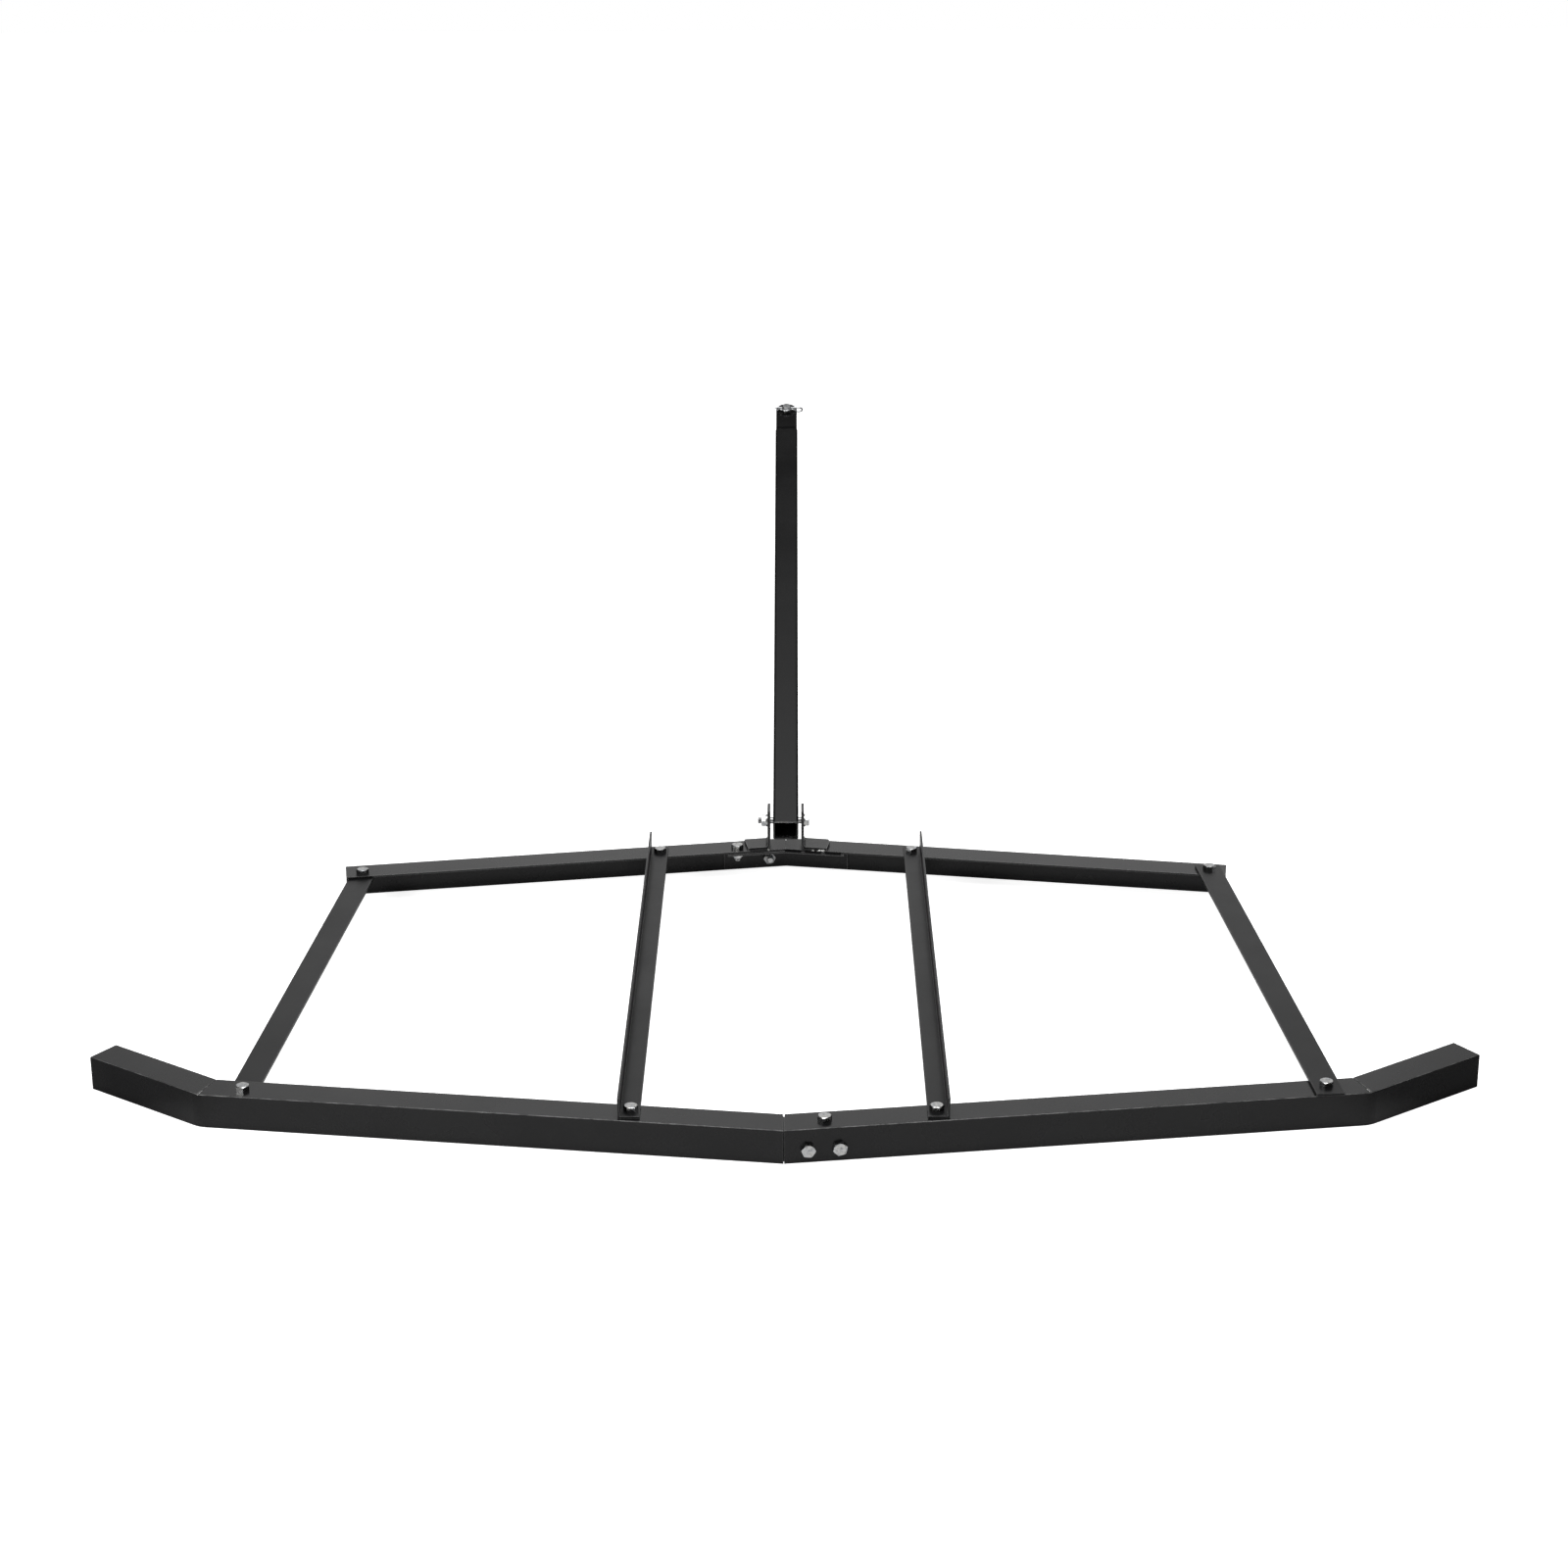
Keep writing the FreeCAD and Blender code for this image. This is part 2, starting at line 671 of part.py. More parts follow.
face_level = angle_size - face_bolt_drop
rear_face_way = along_beam(rear_slope, 0, -1)
rear_top_place = Vector(rear_top_bolt.x, rear_top_bolt.y, angle_size)
splice_sets = [bolt_set(rear_top_place, up, splice_grip, rear_top_turns)]
for along, turns in zip(rear_face_bolts_along, rear_face_turns):
    start = along_beam(rear_slope, along, 0)
    start.z = face_level
    splice_sets.append(bolt_set(start, rear_face_way, splice_grip, turns))
front_top_place = Vector(-front_top_bolt.x, front_point_y - front_top_bolt.y, angle_size)
splice_sets.append(bolt_set(front_top_place, up, splice_grip, front_top_turns))
front_face = along_beam(front_slope, front_face_bolt_along, 0)
front_face_place = Vector(-front_face.x, front_point_y - front_face.y, face_level)
front_face_way = Vector(-front_outwards.x, front_outwards.y, 0)
splice_sets.append(bolt_set(front_face_place, front_face_way, splice_grip, front_face_turns))

pivot_outer_x = ear_gap * half_share + ear_thickness
pivot_head_x = pivot_outer_x + washer_thickness
right_way = Vector(1, 0, 0)
pivot_grip = pivot_head_x + pivot_head_x
pivot_bolt_turn, pivot_nut_turn = pivot_turns
pivot_bolt = turned_to(hex_bolt(pivot_grip, plain_nut_height + pivot_thread_showing),
                       pivot_place + Vector(pivot_head_x, 0, 0), right_way, pivot_bolt_turn)
pivot_nut = turned_to(plain_nut(), pivot_place - Vector(pivot_head_x, 0, 0), right_way, pivot_nut_turn)
pivot_washers = [turned_to(washer(), pivot_place + Vector(pivot_outer_x, 0, 0), right_way, 0),
                 turned_to(washer(), pivot_place - Vector(pivot_head_x, 0, 0), right_way, 0)]


# Weld beads

def bead_along(start, end, section):
    """A bead whose section, given as (outwards, up) points, is carried from start to end."""
    way = (end - start).normalize()
    outwards = Vector(way.y, -way.x, 0)
    points = [start + outwards * across + Vector(0, 0, height) for across, height in section]
    return Part.Face(Part.makePolygon(points + [points[0]])).extrude(end - start)


corner_bead = ((0, 0), (0, bead_height), (bead_width * bead_bulge_share, bead_height * bead_bulge_share),
               (bead_width, 0))
ledge = angle_size - ear_near_gauge
edge_bead = ((0, 0), (0, bead_height), (edge_bead_width, edge_bead_height),
             (edge_bead_width + ledge, 0), (edge_bead_width + ledge, -edge_bead_drop * half_share),
             (ledge, -edge_bead_drop), (ledge, 0))


def ear_bead_pair(foot_along):
    """Beads along the near and far edges of a right foot, laid out from the rear point."""
    first = pivot_outer_x + ear_bend_radius + ear_bend_radius
    last = foot_along - ear_chamfer_along
    near_start = along_beam(front_slope, first, ear_near_gauge)
    near_end = along_beam(front_slope, last, ear_near_gauge)
    far_start = along_beam(front_slope, last, ear_far_gauge)
    far_end = along_beam(front_slope, first, ear_far_gauge)
    for place in (near_start, near_end, far_start, far_end):
        place.z = angle_size
    near = bead_along(near_end, near_start, edge_bead)
    far = bead_along(far_end, far_start, corner_bead)
    return [to_front(near), to_front(far)]


ear_welds = ear_bead_pair(ear_foot_right_along)
ear_welds += [mirror_left(bead) for bead in ear_bead_pair(ear_foot_left_along)]


def stitch(slope, begin, flange_width):
    """A short bead between a beam's free flange edge and the splice flange under it."""
    edge = min(angle_size, angle_thickness + flange_width)
    start = along_beam(slope, begin, edge)
    end = along_beam(slope, begin + stitch_length, edge)
    if edge < angle_size:
        level = flange_under - splice_thickness
        section = ((0, 0), (0, splice_thickness), (ledge_bead_width, splice_thickness),
                   (ledge_bead_width * bead_bulge_share, splice_thickness * (1 - bead_bulge_share)))
    else:
        level = flange_under
        section = ((0, 0), (0, ledge_bead_height),
                   (ledge_bead_width * bead_bulge_share, ledge_bead_height * bead_bulge_share),
                   (ledge_bead_width, 0))
    start.z = level
    end.z = level
    return bead_along(end, start, section)


splice_welds = [mirror_left(stitch(rear_slope, begin, rear_splice_flange)) for begin in stitch_starts]
front_stitches = [stitch(front_slope, begin, front_splice_flange) for begin in stitch_starts]
splice_welds += [to_front(bead) for bead in front_stitches]


# The weld that fills the mitre gap of the bend to below the top of the flange
mitre_weld_end = mitre_corner - mitre_way * mitre_bead_short_of_edge
mitre_weld_top = angle_size - mitre_fill_depth
bend_welds = [mitre_prism(mitre_weld_end, ((-half_mitre_gap, flange_under), (half_mitre_gap, flange_under),
                                           (half_mitre_gap, mitre_weld_top),
                                           (-half_mitre_gap, mitre_weld_top)))]
bend_welds.append(mirror_left(bend_welds[0]))


# Tow bar, built level from its pivot at the origin and pointing forward

def square_outline(size, radius, y):
    half = size * half_share
    corners = [Vector(-half, y, -half), Vector(half, y, -half), Vector(half, y, half), Vector(-half, y, half)]
    return Part.Face(Part.Wire(rounded_edges(corners, [radius] * len(corners), True)))


tube_end = hitch_tip_reach - clevis_length
tube_length = tube_end + tube_behind_pivot
outer_tube = square_outline(tube_size, tube_corner_radius, -tube_behind_pivot)
inner_tube = square_outline(tube_size - tube_wall - tube_wall, tube_corner_radius - tube_wall,
                            -tube_behind_pivot - overrun * half_share)
tow_bar_tube = outer_tube.extrude(Vector(0, tube_length, 0))
tow_bar_tube = tow_bar_tube.cut(inner_tube.extrude(Vector(0, tube_length + overrun, 0)))
tow_bar_tube = tow_bar_tube.cut(Part.makeCylinder(bolt_radius + pivot_clearance, tube_size + overrun,
                                                  Vector(-(tube_size + overrun) * half_share, 0, 0),
                                                  Vector(1, 0, 0)))

half_tube = tube_size * half_share
clevis_half = clevis_width * half_share
pin_y = hitch_tip_reach - clevis_half
clevis_outer_radius = clevis_bend_radius + clevis_thickness


def clevis_strip():
    """The flat bar bent into a U, seen from the side, with its web against the tube's end."""
    inner = half_tube - clevis_thickness
    web = tube_end + clevis_thickness
    tip = hitch_tip_reach
    outline = [Vector(-clevis_half, tip, -half_tube), Vector(-clevis_half, tube_end, -half_tube),
               Vector(-clevis_half, tube_end, half_tube), Vector(-clevis_half, tip, half_tube),
               Vector(-clevis_half, tip, inner), Vector(-clevis_half, web, inner),
               Vector(-clevis_half, web, -inner), Vector(-clevis_half, tip, -inner)]
    radii = [0, clevis_outer_radius, clevis_outer_radius, 0, 0, clevis_bend_radius, clevis_bend_radius, 0]
    face = Part.Face(Part.Wire(rounded_edges(outline, radii, True)))
    return face.extrude(Vector(clevis_width, 0, 0))


def round_end_plan():
    corners = [Vector(-clevis_half, tube_end, 0), Vector(clevis_half, tube_end, 0),
               Vector(clevis_half, pin_y, 0), Vector(-clevis_half, pin_y, 0)]
    plate = plan_solid(corners, [0] * len(corners), -half_tube, half_tube)
    return plate.fuse(upright(clevis_half, Vector(0, pin_y, 0), -half_tube, half_tube))


pin_axis_place = Vector(0, pin_y, 0)
hitch_clevis = clevis_strip().common(round_end_plan())
hitch_clevis = hitch_clevis.cut(upright(pin_radius + pin_clearance, pin_axis_place, -overrun, overrun))
hitch_clevis = hitch_clevis.removeSplitter()


def clevis_groove_weld(top):
    """The weld that fills the groove between the tube's end and the bend of the clevis."""
    level = half_tube * top
    arc_start = Vector(-clevis_half, tube_end, level - clevis_outer_radius * top)
    arc_end = Vector(-clevis_half, tube_end + clevis_outer_radius, level)
    centre = Vector(-clevis_half, arc_end.y, arc_start.z)
    lean = Vector(0, -math.sqrt(half_share), math.sqrt(half_share) * top) * clevis_outer_radius
    arc = Part.Arc(arc_start, centre + lean, arc_end).toShape()
    corner = Vector(-clevis_half, tube_end, level)
    edges = [arc, Part.makeLine(arc_end, corner), Part.makeLine(corner, arc_start)]
    return Part.Face(Part.Wire(edges)).extrude(Vector(clevis_width, 0, 0))


clevis_welds = [clevis_groove_weld(1), clevis_groove_weld(-1)]


# Hitch pin and spring clip

pin_low = -half_tube - pin_head_play
pin_high = half_tube + pin_above_clevis
clip_level = half_tube + clip_above_clevis
pin_shank = upright(pin_radius, pin_axis_place, pin_low, pin_high)
pin_top_edge = [edge for edge in pin_shank.Edges if abs(edge.BoundBox.ZMin - pin_high) < touch]
pin_shank = pin_shank.makeChamfer(pin_end_chamfer, pin_top_edge)
pin_head = upright(pin_head_radius, pin_axis_place, pin_low - pin_head_height, pin_low)
pin_head_edges = [edge for edge in pin_head.Edges if abs(edge.BoundBox.ZMax - edge.BoundBox.ZMin) < touch]
pin_head = pin_head.makeChamfer(pin_head_chamfer, pin_head_edges)
clip_hole_radius = clip_wire_radius + clip_hole_clearance
clip_hole = Part.makeCylinder(clip_hole_radius, overrun, Vector(-overrun * half_share, pin_y, clip_level),
                              Vector(1, 0, 0))
hitch_pin = pin_shank.fuse(pin_head).removeSplitter().cut(clip_hole)


def clip_path():
    """The clip's centre line: a straight leg through the pin, a loop, and a waved leg back."""
    loop = clip_loop_radius
    centre = Vector(clip_loop_x, -loop, 0)
    turn = math.radians(clip_loop_turn_deg)

    def on_loop(angle):
        return centre + Vector(math.sin(angle) * loop, math.cos(angle) * loop, 0)

    leave = on_loop(turn)
    crest = Vector(clip_crest_x, -clip_crest_depth, 0)
    hug = pin_radius + clip_wire_radius + clip_pin_gap
    crest_angle = math.atan2(clip_crest_depth, clip_crest_x)
    wrap = crest_angle + math.acos(hug / crest.Length)
    belly = Vector(0, -hug / math.sin(wrap), 0)
    other_crest = Vector(-clip_crest_x, -clip_crest_depth, 0)
    tail = Vector(clip_tail_x, -clip_tail_depth, 0)
    edges = [Part.makeLine(Vector(clip_free_end_x, 0, 0), Vector(clip_loop_x, 0, 0)),
             Part.Arc(Vector(clip_loop_x, 0, 0), on_loop(turn * half_share), leave).toShape()]
    edges += rounded_edges([leave, crest, belly, other_crest, tail],
                           [0, clip_crest_radius, hug, clip_crest_radius, 0], False)
    return Part.Wire(edges)


def spring_clip():
    path = clip_path()
    start = path.Edges[0].valueAt(path.Edges[0].FirstParameter)
    ring = Part.Wire(Part.makeCircle(clip_wire_radius, start, Vector(1, 0, 0)))
    sweep = Part.BRepOffsetAPI.MakePipeShell(path)
    sweep.setBiNormalMode(Vector(0, 0, 1))
    sweep.add(ring)
    sweep.build()
    sweep.makeSolid()
    clip = sweep.shape()
    clip.translate(Vector(0, pin_y, clip_level))
    return clip


r_clip = spring_clip()


def raised(shape):
    """A tow bar part turned up to the angle at which the bar is shown, about its pivot."""
    shape = shape.copy()
    shape.rotate(Vector(0, 0, 0), Vector(1, 0, 0), tow_bar_rise_deg)
    shape.translate(pivot_place)
    return shape


all_sets = strap_sets + bar_sets + splice_sets
nodes = {
    "rear_beam_left": [rear_beam_left],
    "rear_beam_right": [rear_beam_right],
    "rear_splice_angle": [rear_splice],
    "front_beam_left": [front_beam_left],
    "front_beam_right": [front_beam_right],
    "front_splice_angle": [front_splice],
    "outer_strap_left": [outer_strap_left],
    "outer_strap_right": [outer_strap_right],
    "inner_bar_left": [inner_bar_left],
    "inner_bar_right": [inner_bar_right],
    "hitch_ear_left": [hitch_ear_left],
    "hitch_ear_right": [hitch_ear_right],
    "ear_welds": ear_welds,
    "bend_welds": bend_welds,
    "splice_welds": splice_welds,
    "strap_bolts": [bolt for bolt, nut, insert in strap_sets],
    "strap_lock_nuts": [nut for bolt, nut, insert in strap_sets],
    "bar_bolts": [bolt for bolt, nut, insert in bar_sets],
    "bar_lock_nuts": [nut for bolt, nut, insert in bar_sets],
    "splice_bolts": [bolt for bolt, nut, insert in splice_sets],
    "splice_lock_nuts": [nut for bolt, nut, insert in splice_sets],
    "pivot_bolt": [pivot_bolt],
    "pivot_washers": pivot_washers,
    "pivot_nut": [pivot_nut],
    "lock_nut_inserts": [insert for bolt, nut, insert in all_sets],
    "tow_bar_tube": [raised(tow_bar_tube)],
    "hitch_clevis": [raised(hitch_clevis)],
    "clevis_welds": [raised(bead) for bead in clevis_welds],
    "hitch_pin": [raised(hitch_pin)],
    "r_clip": [raised(r_clip)],
}

whole = Part.makeCompound([solid for solids in nodes.values() for solid in solids])
extent = whole.optimalBoundingBox(False, False)
to_origin = Vector(0, -middle(extent.YMin, extent.YMax), 0)

for name, solids in nodes.items():
    shape = solids[0].copy() if len(solids) == 1 else Part.makeCompound([solid.copy() for solid in solids])
    shape.translate(to_origin)
    shape.exportStep(os.path.join("parts", name + ".step"))
    print(name, "solids", len(shape.Solids), "valid", shape.isValid(), "volume", round(shape.Volume))
print("pivot", pivot_place + to_origin, "shift", to_origin)
print("extent", extent)
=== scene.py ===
import json
import math

import bmesh
import bpy
import numpy as np
from mathutils import Matrix, Vector


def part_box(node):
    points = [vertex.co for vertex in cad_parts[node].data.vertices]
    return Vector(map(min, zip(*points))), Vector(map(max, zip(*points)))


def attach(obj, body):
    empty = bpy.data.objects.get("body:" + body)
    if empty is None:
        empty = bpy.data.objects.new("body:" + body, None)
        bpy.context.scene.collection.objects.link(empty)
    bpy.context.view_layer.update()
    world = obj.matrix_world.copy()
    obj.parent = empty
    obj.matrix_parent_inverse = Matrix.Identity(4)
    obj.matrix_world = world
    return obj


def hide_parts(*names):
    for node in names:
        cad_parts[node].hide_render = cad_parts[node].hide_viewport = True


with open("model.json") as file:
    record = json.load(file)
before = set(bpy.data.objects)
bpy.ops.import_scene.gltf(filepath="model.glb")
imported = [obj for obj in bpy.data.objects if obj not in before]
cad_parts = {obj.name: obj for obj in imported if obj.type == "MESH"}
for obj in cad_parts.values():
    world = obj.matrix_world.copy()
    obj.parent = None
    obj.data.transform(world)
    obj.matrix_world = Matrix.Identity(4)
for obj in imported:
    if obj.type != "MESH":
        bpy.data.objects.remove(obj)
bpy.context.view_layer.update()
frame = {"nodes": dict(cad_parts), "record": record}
nodes = frame["nodes"]

# Sizes in metres, colours linear, angles in degrees unless a name says otherwise
MM = 0.001

# Camera, fitted to the beam edges in the photograph and placed from the rear point of the drag
PHOTO_SIDE = 1600
FOCAL_PIXELS = 3116.7
SENSOR_WIDTH = 36.0
CAMERA_PITCH = 20.083
CAMERA_YAW = -0.261
CAMERA_ROLL = -0.204
CAMERA_FROM_POINT = Vector((0.0181, -3.5291, 1.7642))

# Colours of the finishes, and of the painted highlights on edges and heels
BLACK_COAT = (0.0052, 0.0052, 0.0055)
BLACK_COAT_WORN = (0.0072, 0.0072, 0.0075)
TUBE_COAT = (0.0028, 0.0028, 0.003)
TUBE_COAT_WORN = (0.004, 0.004, 0.0042)
BLACK_WELD = (0.0085, 0.0085, 0.0088)
BARE_WELD = (0.5, 0.5, 0.49)
# Painted highlights: pale colours laid on sharp edges and on the rounded heel of the rear beams, in
# place of the light they catch
EDGE_HIGHLIGHT_PAINT = (0.17, 0.17, 0.17)
HEEL_HIGHLIGHT_PAINT = (0.16, 0.16, 0.16)
DUST = (0.18, 0.18, 0.17)
# Painted highlight along the sharp edges of the zinc parts
ZINC_EDGE_HIGHLIGHT = (0.72, 0.72, 0.72)
ZINC_COOL = (0.37, 0.383, 0.40)
ZINC_WARM = (0.44, 0.431, 0.41)
ZINC_SHADE = (0.17, 0.175, 0.183)
WIRE_STEEL = (0.62, 0.63, 0.64)
NYLON_BLUE = (0.022, 0.032, 0.06)
NYLON_PALE = (0.035, 0.048, 0.08)

# Painted edge highlights and wear: how wide a painted edge highlight runs along an edge, and how
# strongly each kind shows
EDGE_WIDTH = 2.2 * MM
ZINC_EDGE_WIDTH = 0.8 * MM
ZINC_EDGE_SHARE = 0.8
DUST_SHARE = 0.10
MARK_SHARE = 0.7
WIRE_CLOUD_SHARE = 0.4
BARE_PATCH_SCALE = 60.0
HEEL_PATCH_SCALE = 60.0

# Floor, with its glow as the camera and as the metal see it, near the drag and far from it
FLOOR_PALE = (0.86, 0.86, 0.86)
FLOOR_REACH = 12.0
FLOOR_DROP = 0.3 * MM
FLOOR_NEAR = 1.5
FLOOR_FAR = 2.6
FLOOR_SEEN_GLOW = 0.86
FLOOR_MIRRORED_GLOW = 0.17
FLOOR_FAR_GLOW = 1.0
FLOOR_SIDE_NEAR = 0.76
FLOOR_SIDE_FAR = 0.88
FLOOR_SIDE_SHADE = (0.22, 0.22, 0.22)

# Weld ripples: pitch along the bead, half sizes of a drop along, across and up, and its mesh
EAR_PITCH = 3.0 * MM
EAR_RIPPLE = (2.6 * MM, 2.3 * MM, 2.1 * MM)
SPLICE_PITCH = 1.7 * MM
SPLICE_RIPPLE = (1.5 * MM, 2.0 * MM, 1.9 * MM)
BEND_PITCH = 4.4 * MM
BEND_RIPPLE = (2.6 * MM, 1.0 * MM, 1.2 * MM)
BEND_RISE = 1.0 * MM
RIPPLE_SEED = 11
DROP_SEGMENTS = 14
DROP_RINGS = 8
DROP_SMALLEST = 0.82
DROP_LARGEST = 1.1
SAME_POINT = 0.01 * MM


def set_input(node, name, value):
    node.inputs[name].default_value = value


def rgba(colour):
    return (*colour, 1.0)


def new_group(name, outputs, inputs):
    """A shader node group with float inputs and the named outputs."""
    group = bpy.data.node_groups.new(name, "ShaderNodeTree")
    for label, value in inputs:
        socket = group.interface.new_socket(label, in_out="INPUT", socket_type="NodeSocketFloat")
        socket.default_value = value
    for label in outputs:
        group.interface.new_socket(label, in_out="OUTPUT", socket_type="NodeSocketFloat")
    start = group.nodes.new("NodeGroupInput")
    end = group.nodes.new("NodeGroupOutput")
    place = group.nodes.new("ShaderNodeTexCoord")
    return group, start, end, place


def noise_in(group, place, scale, detail, roughness=0.5):
    """A noise texture on object coordinates; the scale is a number or a socket."""
    noise = group.nodes.new("ShaderNodeTexNoise")
    group.links.new(place.outputs["Object"], noise.inputs["Vector"])
    set_input(noise, "Detail", detail)
    set_input(noise, "Roughness", roughness)
    if isinstance(scale, float):
        set_input(noise, "Scale", scale)
    else:
        group.links.new(scale, noise.inputs["Scale"])
    return noise.outputs["Fac"]


def math_in(tree, operation, first, second):
    node = tree.nodes.new("ShaderNodeMath")
    node.operation = operation
    for index, value in enumerate((first, second)):
        if isinstance(value, (int, float)):
            node.inputs[index].default_value = value
        else:
            tree.links.new(value, node.inputs[index])
    return node.outputs["Value"]


def spread(tree, value, low, high, to_low, to_high):
    """Maps a value from one range to another and keeps it there."""
    node = tree.nodes.new("ShaderNodeMapRange")
    tree.links.new(value, node.inputs["Value"])
    set_input(node, "From Min", low)
    set_input(node, "From Max", high)
    set_input(node, "To Min", to_low)
    set_input(node, "To Max", to_high)
    return node.outputs["Result"]


def coat_group():
    """Powder coat: fine orange peel, broad change of gloss, and thin settled dust."""
    group, start, end, place = new_group(
        "powder_coat_surface", ("Peel", "Gloss", "Dust"),
        (("Peel Scale", 900.0), ("Gloss Scale", 9.0), ("Dust Scale", 2600.0)))
    peel = noise_in(group, place, start.outputs["Peel Scale"], 2.0)
    fine = noise_in(group, place, start.outputs["Dust Scale"], 1.0)
    group.links.new(math_in(group, "ADD", peel, math_in(group, "MULTIPLY", fine, 0.25)),
                    end.inputs["Peel"])
    broad = noise_in(group, place, start.outputs["Gloss Scale"], 4.0, 0.6)
    group.links.new(spread(group, broad, 0.3, 0.7, 0.0, 1.0), end.inputs["Gloss"])
    patches = spread(group, broad, 0.42, 0.75, 0.0, 1.0)
    specks = spread(group, fine, 0.58, 0.72, 0.0, 1.0)
    group.links.new(math_in(group, "MULTIPLY", patches, specks), end.inputs["Dust"])
    return group


def plate_group():
    """Zinc plate: cloudy tint, fine grain and small handling marks."""
    group, start, end, place = new_group(
        "zinc_plate_surface", ("Cloud", "Relief", "Marks"),
        (("Cloud Scale", 120.0), ("Relief Scale", 260.0), ("Mark Scale", 300.0)))
    cloud = noise_in(group, place, start.outputs["Cloud Scale"], 3.0, 0.6)
    group.links.new(spread(group, cloud, 0.32, 0.68, 0.0, 1.0), end.inputs["Cloud"])
    group.links.new(noise_in(group, place, start.outputs["Relief Scale"], 3.0), end.inputs["Relief"])
    marks = noise_in(group, place, start.outputs["Mark Scale"], 5.0, 0.7)
    group.links.new(spread(group, marks, 0.47, 0.64, 0.0, 1.0), end.inputs["Marks"])
    return group


def edge_group():
    """One along the sharp edges of a piece and zero on its faces."""
    group, start, end, place = new_group("edge_highlight_mask", ("Edge",), (("Width", EDGE_WIDTH),))
    group.nodes.remove(place)
    rounded = group.nodes.new("ShaderNodeBevel")
    rounded.samples = 6
    group.links.new(start.outputs["Width"], rounded.inputs["Radius"])
    true_shape = group.nodes.new("ShaderNodeNewGeometry")
    turned = group.nodes.new("ShaderNodeVectorMath")
    turned.operation = "DOT_PRODUCT"
    group.links.new(rounded.outputs["Normal"], turned.inputs[0])
    group.links.new(true_shape.outputs["Normal"], turned.inputs[1])
    group.links.new(spread(group, turned.outputs["Value"], 0.88, 0.995, 1.0, 0.0),
                    end.inputs["Edge"])
    return group


COAT = coat_group()
PLATE = plate_group()
EDGES = edge_group()


def new_material(name):
    material = bpy.data.materials.new(name)
    material.use_nodes = True
    tree = material.node_tree
    return material, tree, tree.nodes["Principled BSDF"]


def place_group(tree, group, values):
    node = tree.nodes.new("ShaderNodeGroup")
    node.node_tree = group
    for label, value in values.items():
        set_input(node, label, value)
    return node


def mix_colour(tree, amount, first, second):
    node = tree.nodes.new("ShaderNodeMix")
    node.data_type = "RGBA"
    tree.links.new(amount, node.inputs["Factor"])
    for label, value in (("A", first), ("B", second)):
        socket = [entry for entry in node.inputs if entry.name == label and entry.type == "RGBA"][0]
        if isinstance(value, tuple):
            socket.default_value = rgba(value)
        else:
            tree.links.new(value, socket)
    return [entry for entry in node.outputs if entry.type == "RGBA"][0]


def bump(tree, shader, height, strength, distance):
    node = tree.nodes.new("ShaderNodeBump")
    set_input(node, "Strength", strength)
    set_input(node, "Distance", distance)
    tree.links.new(height, node.inputs["Height"])
    tree.links.new(node.outputs["Normal"], shader.inputs["Normal"])


def black_coat(name, colour, worn, gloss, rough, specular, peel, edge_highlight):
    """Semi-gloss black powder coat over steel, with a painted highlight: pale colour along the sharp
    edges.
    """
    material, tree, shader = new_material(name)
    surface = place_group(tree, COAT, {})
    toned = mix_colour(tree, surface.outputs["Gloss"], colour, worn)
    dusty = mix_colour(tree, math_in(tree, "MULTIPLY", surface.outputs["Dust"], DUST_SHARE), toned,
                       DUST)
    # Painted highlight: a pale colour along the sharp edges, where the light catches them
    edge_highlight_amount = math_in(tree, "MULTIPLY", place_group(tree, EDGES, {}).outputs["Edge"],
                     spread(tree, surface.outputs["Peel"], 0.45, 0.75, 0.5 * edge_highlight, edge_highlight))
    tree.links.new(mix_colour(tree, edge_highlight_amount, dusty, EDGE_HIGHLIGHT_PAINT), shader.inputs["Base Color"])
    tree.links.new(spread(tree, surface.outputs["Gloss"], 0.0, 1.0, gloss, rough),
                   shader.inputs["Roughness"])
    set_input(shader, "Specular IOR Level", specular)
    bump(tree, shader, surface.outputs["Peel"], peel, 0.12 * MM)
    return material


def cover(material, amount, colour):
    """Lays one more colour over the base colour of a material where the amount is one."""
    tree = material.node_tree
    shader = tree.nodes["Principled BSDF"]
    below = shader.inputs["Base Color"].links[0].from_socket
    tree.links.new(mix_colour(tree, amount, below, colour), shader.inputs["Base Color"])


def heel_highlight_coat():
    """The coat of the rear beams, with a painted highlight on the rounded heel but not in the wing
    mitres.
    """
    material = black_coat("beam_paint", BLACK_COAT, BLACK_COAT_WORN,
                          gloss=0.22, rough=0.3, specular=0.22, peel=0.14, edge_highlight=0.25)
    tree = material.node_tree
    place = tree.nodes.new("ShaderNodeTexCoord")
    facing = tree.nodes.new("ShaderNodeSeparateXYZ")
    tree.links.new(place.outputs["Normal"], facing.inputs["Vector"])
    spot = tree.nodes.new("ShaderNodeSeparateXYZ")
    tree.links.new(place.outputs["Object"], spot.inputs["Vector"])
    up = facing.outputs["Z"]
    rounded = math_in(tree, "MULTIPLY", spread(tree, up, 0.25, 0.5, 0.0, 1.0),
                      spread(tree, up, 0.94, 0.99, 1.0, 0.0))
    outwards = math_in(tree, "MULTIPLY", facing.outputs["X"],
                       math_in(tree, "SIGN", spot.outputs["X"], 0.0))
    # Painted highlight: pale colour on faces turned between up and rearward, the rounded heel, in
    # patches
    kept = math_in(tree, "MULTIPLY", rounded, spread(tree, outwards, 0.3, 0.42, 1.0, 0.0))
    patches = spread(tree, noise_in(tree, place, HEEL_PATCH_SCALE, 4.0), 0.35, 0.65, 0.3, 1.0)
    cover(material, math_in(tree, "MULTIPLY", kept, patches), HEEL_HIGHLIGHT_PAINT)
    return material


